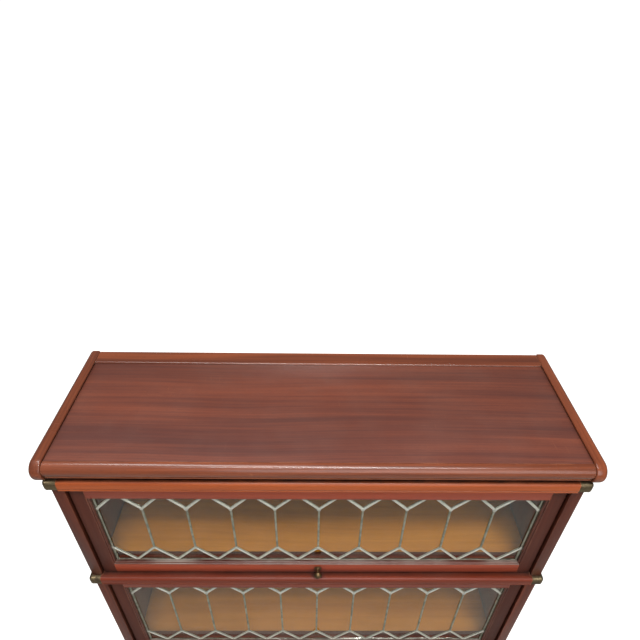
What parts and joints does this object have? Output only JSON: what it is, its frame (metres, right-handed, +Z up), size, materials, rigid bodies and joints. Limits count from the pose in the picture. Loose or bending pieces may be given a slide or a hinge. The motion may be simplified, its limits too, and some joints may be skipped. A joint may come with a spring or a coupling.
{
  "type": "sectional bookcase",
  "caption": "Tall wooden stacking bookcase with a plinth base, a flat top and leaded glass doors that lift up and slide back over the books.",
  "frame": {"origin": "middle of the footprint, on the floor", "axes": "+X to the viewer's right, +Y from the doors to the back, +Z up"},
  "size_m": [0.894, 0.29, 1.109],
  "materials": {
    "mahogany": "polished",
    "mahogany_top": "polished, faded",
    "door_mahogany": "polished",
    "shelf_wood": "satin",
    "glass": "clear old glass",
    "lead": "dull lead",
    "bronze": "dark patina",
    "brass": "aged",
    "steel": "plain"
  },
  "bodies": {
    "carcase": {"base_front": "mahogany", "base_back": "mahogany", "base_side_left": "mahogany", "base_side_right": "mahogany", "lower_side_left": "mahogany", "lower_side_right": "mahogany", "lower_back_panel": "mahogany", "lower_shelf_board": "shelf_wood", "lower_shelf_lipping": "mahogany", "lower_cross_rail": "mahogany", "lower_band_left": "bronze", "lower_band_right": "bronze", "middle_side_left": "mahogany", "middle_side_right": "mahogany", "middle_back_panel": "mahogany", "middle_shelf_board": "shelf_wood", "middle_shelf_lipping": "mahogany", "middle_cross_rail": "mahogany", "middle_band_left": "bronze", "middle_band_right": "bronze", "upper_side_left": "mahogany", "upper_side_right": "mahogany", "upper_back_panel": "mahogany", "upper_shelf_board": "shelf_wood", "upper_shelf_lipping": "mahogany", "upper_cross_rail": "mahogany", "upper_band_left": "bronze", "upper_band_right": "bronze", "cap_end_left": "mahogany", "cap_end_right": "mahogany", "cap_panel": "mahogany_top", "cap_nosing": "mahogany", "cap_back_rail": "mahogany"},
    "lower_door": {"lower_door_stile_left": "door_mahogany", "lower_door_stile_right": "door_mahogany", "lower_door_top_rail": "door_mahogany", "lower_door_bottom_rail": "door_mahogany", "lower_door_leading": "lead", "lower_door_glass": "glass", "lower_door_knob": "brass"},
    "lower_carriage": {"lower_door_pin_left": "steel", "lower_door_pin_right": "steel"},
    "middle_door": {"middle_door_stile_left": "door_mahogany", "middle_door_stile_right": "door_mahogany", "middle_door_top_rail": "door_mahogany", "middle_door_bottom_rail": "door_mahogany", "middle_door_leading": "lead", "middle_door_glass": "glass", "middle_door_knob": "brass"},
    "middle_carriage": {"middle_door_pin_left": "steel", "middle_door_pin_right": "steel"},
    "upper_door": {"upper_door_stile_left": "door_mahogany", "upper_door_stile_right": "door_mahogany", "upper_door_top_rail": "door_mahogany", "upper_door_bottom_rail": "door_mahogany", "upper_door_leading": "lead", "upper_door_glass": "glass", "upper_door_knob": "brass"},
    "upper_carriage": {"upper_door_pin_left": "steel", "upper_door_pin_right": "steel"}
  },
  "joints": [
    {"name": "lower_run_back", "type": "slide", "parent": "carcase", "child": "lower_carriage", "axis": [0, 1, 0], "range_m": [0, 0.232]},
    {"name": "lower_lift", "type": "hinge", "parent": "lower_carriage", "child": "lower_door", "pos_m": [0, -0.117, 0.4055], "axis": [-1, 0, 0], "range_deg": [0, 90]},
    {"name": "middle_run_back", "type": "slide", "parent": "carcase", "child": "middle_carriage", "axis": [0, 1, 0], "range_m": [0, 0.232]},
    {"name": "middle_lift", "type": "hinge", "parent": "middle_carriage", "child": "middle_door", "pos_m": [0, -0.117, 0.7455], "axis": [-1, 0, 0], "range_deg": [0, 90]},
    {"name": "upper_run_back", "type": "slide", "parent": "carcase", "child": "upper_carriage", "axis": [0, 1, 0], "range_m": [0, 0.198]},
    {"name": "upper_lift", "type": "hinge", "parent": "upper_carriage", "child": "upper_door", "pos_m": [0, -0.117, 1.0335], "axis": [-1, 0, 0], "range_deg": [0, 90]}
  ],
  "couplings": [
    {"joint": "lower_run_back", "follows": "lower_lift", "m_per_rad": 0.14769},
    {"joint": "middle_run_back", "follows": "middle_lift", "m_per_rad": 0.14769},
    {"joint": "upper_run_back", "follows": "upper_lift", "m_per_rad": 0.12605}
  ]
}
